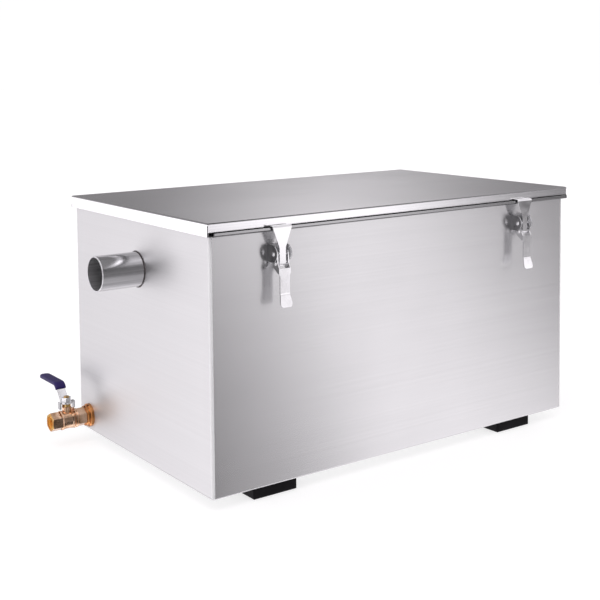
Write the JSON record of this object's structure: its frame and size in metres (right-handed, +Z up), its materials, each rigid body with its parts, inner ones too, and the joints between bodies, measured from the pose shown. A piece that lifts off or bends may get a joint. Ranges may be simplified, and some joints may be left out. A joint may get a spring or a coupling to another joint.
{
  "type": "grease trap",
  "caption": "Folded steel grease trap on rubber feet with a latched lift-off lid, pipe stubs, a strainer and a drain ball valve.",
  "frame": {"origin": "on the floor, under the middle of the part's bounding box", "axes": "+X along the tank from the inlet to the outlet, +Y to the back, +Z up"},
  "size_m": [0.801, 0.4796, 0.383],
  "materials": {
    "tank_steel": "brushed along the tank",
    "polished_steel": "polished",
    "lever_steel": "plated",
    "valve_brass": "cast and turned",
    "nipple_copper": "turned",
    "seat_plastic": "moulded",
    "grip_vinyl": "dipped",
    "black_rubber": "moulded",
    "latch_steel": "polished"
  },
  "bodies": {
    "trap": {"tank": "tank_steel", "tank_end_inlet": "tank_steel", "tank_end_outlet": "tank_steel", "lid": "tank_steel", "strainer_basket": "tank_steel", "basket_ledge_front": "tank_steel", "basket_ledge_back": "tank_steel", "inlet_baffle": "tank_steel", "outlet_baffle": "tank_steel", "inlet_pipe": "polished_steel", "outlet_pipe": "polished_steel", "outlet_dip_pipe": "polished_steel", "valve_end_cap": "valve_brass", "valve_body": "valve_brass", "valve_gland_nut": "valve_brass", "drain_nipple": "nipple_copper", "drain_locknut": "nipple_copper", "valve_seat_inner": "seat_plastic", "valve_seat_outer": "seat_plastic", "lid_seal": "black_rubber", "drain_washer": "black_rubber", "foot_front_left": "black_rubber", "foot_front_right": "black_rubber", "foot_back_left": "black_rubber", "foot_back_right": "black_rubber", "latch_front_left_base": "latch_steel", "latch_front_left_pivot_pin": "latch_steel", "latch_front_right_base": "latch_steel", "latch_front_right_pivot_pin": "latch_steel", "latch_back_left_base": "latch_steel", "latch_back_left_pivot_pin": "latch_steel", "latch_back_right_base": "latch_steel", "latch_back_right_pivot_pin": "latch_steel"},
    "valve_handle": {"valve_stem": "valve_brass", "valve_ball": "polished_steel", "valve_lever": "lever_steel", "valve_grip": "grip_vinyl", "valve_lever_nut": "lever_steel"},
    "lever_front_left": {"latch_front_left_lever": "latch_steel", "latch_front_left_link_pin": "latch_steel"},
    "hook_front_left": {"latch_front_left_hook": "latch_steel"},
    "lever_front_right": {"latch_front_right_lever": "latch_steel", "latch_front_right_link_pin": "latch_steel"},
    "hook_front_right": {"latch_front_right_hook": "latch_steel"},
    "lever_back_left": {"latch_back_left_lever": "latch_steel", "latch_back_left_link_pin": "latch_steel"},
    "hook_back_left": {"latch_back_left_hook": "latch_steel"},
    "lever_back_right": {"latch_back_right_lever": "latch_steel", "latch_back_right_link_pin": "latch_steel"},
    "hook_back_right": {"latch_back_right_hook": "latch_steel"}
  },
  "joints": [
    {"name": "valve_turn", "type": "hinge", "parent": "trap", "child": "valve_handle", "pos_m": [-0.373, 0.15284, 0.041], "axis": [0, 0, 1], "range_deg": [0, 90]},
    {"name": "lever_front_left_swing", "type": "hinge", "parent": "trap", "child": "lever_front_left", "pos_m": [-0.2305, -0.22616, 0.3345], "axis": [-1, 0, 0], "range_deg": [0, 95]},
    {"name": "hook_front_left_swing", "type": "hinge", "parent": "lever_front_left", "child": "hook_front_left", "pos_m": [-0.2305, -0.22616, 0.3215], "axis": [-1, 0, 0], "range_deg": [-95, 0]},
    {"name": "lever_front_right_swing", "type": "hinge", "parent": "trap", "child": "lever_front_right", "pos_m": [0.2315, -0.22616, 0.3345], "axis": [-1, 0, 0], "range_deg": [0, 95]},
    {"name": "hook_front_right_swing", "type": "hinge", "parent": "lever_front_right", "child": "hook_front_right", "pos_m": [0.2315, -0.22616, 0.3215], "axis": [-1, 0, 0], "range_deg": [-95, 0]},
    {"name": "lever_back_left_swing", "type": "hinge", "parent": "trap", "child": "lever_back_left", "pos_m": [-0.2305, 0.19784, 0.3345], "axis": [1, 0, 0], "range_deg": [0, 95]},
    {"name": "hook_back_left_swing", "type": "hinge", "parent": "lever_back_left", "child": "hook_back_left", "pos_m": [-0.2305, 0.19784, 0.3215], "axis": [1, 0, 0], "range_deg": [-95, 0]},
    {"name": "lever_back_right_swing", "type": "hinge", "parent": "trap", "child": "lever_back_right", "pos_m": [0.2315, 0.19784, 0.3345], "axis": [1, 0, 0], "range_deg": [0, 95]},
    {"name": "hook_back_right_swing", "type": "hinge", "parent": "lever_back_right", "child": "hook_back_right", "pos_m": [0.2315, 0.19784, 0.3215], "axis": [1, 0, 0], "range_deg": [-95, 0]}
  ],
  "couplings": [
    {"joint": "hook_front_left_swing", "follows": "lever_front_left_swing", "ratio": -1},
    {"joint": "hook_front_right_swing", "follows": "lever_front_right_swing", "ratio": -1},
    {"joint": "hook_back_left_swing", "follows": "lever_back_left_swing", "ratio": -1},
    {"joint": "hook_back_right_swing", "follows": "lever_back_right_swing", "ratio": -1}
  ]
}
